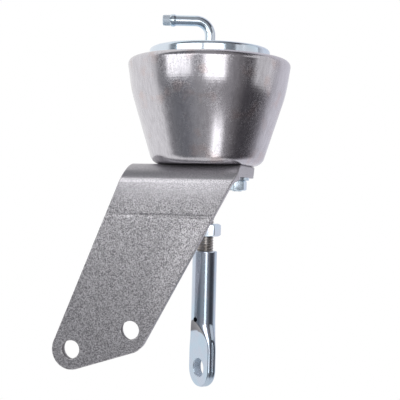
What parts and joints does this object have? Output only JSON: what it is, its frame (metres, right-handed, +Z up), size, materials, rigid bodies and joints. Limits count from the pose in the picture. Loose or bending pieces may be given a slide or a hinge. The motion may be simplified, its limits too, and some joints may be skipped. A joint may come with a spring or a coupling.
{
  "type": "turbo wastegate actuator",
  "caption": "Pneumatic turbo wastegate actuator: tapered steel canister with crimped lid and bent hose nipple on an angled plate bracket, with a sprung rod, locknut and flattened-tube rod end.",
  "frame": {"origin": "centre of the bracket's two bolt holes, on the leg's front face", "axes": "+Y through the bolt holes, from the leg's front face towards the rod; +Z up along the rod axis, from the rod end to the lid; +X to the right seen from the front"},
  "size_m": [0.1069, 0.077, 0.177],
  "materials": {
    "canister_steel": "bare drawn steel, satin with fine draw marks",
    "bracket_steel": "bare pickled plate, fine grainy matt",
    "bright_zinc": "bright blue zinc plate",
    "rod_steel": "plain steel, oiled",
    "rubber": "moulded black rubber",
    "spring_steel": "oil tempered wire",
    "bronze": "sintered bronze",
    "braze": "zinc over braze"
  },
  "bodies": {
    "housing": {"bracket": "bracket_steel", "canister": "canister_steel", "lid": "bright_zinc", "hose_nipple": "bright_zinc", "nipple_braze": "braze", "diaphragm": "rubber", "return_spring": "spring_steel", "spring_seat": "bright_zinc", "stud_plate": "bright_zinc", "mounting_studs": "bright_zinc", "stud_washers": "bright_zinc", "stud_nuts": "bright_zinc", "rod_bush": "bronze", "rod_seal": "rubber", "seal_ferrule": "bright_zinc"},
    "rod_group": {"rod": "rod_steel", "piston": "bright_zinc", "diaphragm_cup": "bright_zinc", "rod_washer": "bright_zinc", "rod_nut": "bright_zinc"},
    "locknut": {"locknut": "bright_zinc"},
    "rod_end": {"rod_end": "bright_zinc"}
  },
  "joints": [
    {"name": "rod_slide", "type": "slide", "parent": "housing", "child": "rod_group", "axis": [0, 0, -1], "range_m": [0, 0.01], "stiffness_N_per_m": 1200, "springref_m": -0.012, "deforming": ["return_spring", "diaphragm"]},
    {"name": "locknut_run", "type": "slide", "parent": "rod_group", "child": "locknut", "axis": [0, 0, -1], "range_m": [-0.013, 0.0068]},
    {"name": "rod_end_turn", "type": "hinge", "parent": "rod_group", "child": "rod_end", "pos_m": [0.0441, 0.021, 0.033], "axis": [0, 0, 1], "range_deg": [-180, 180]}
  ]
}
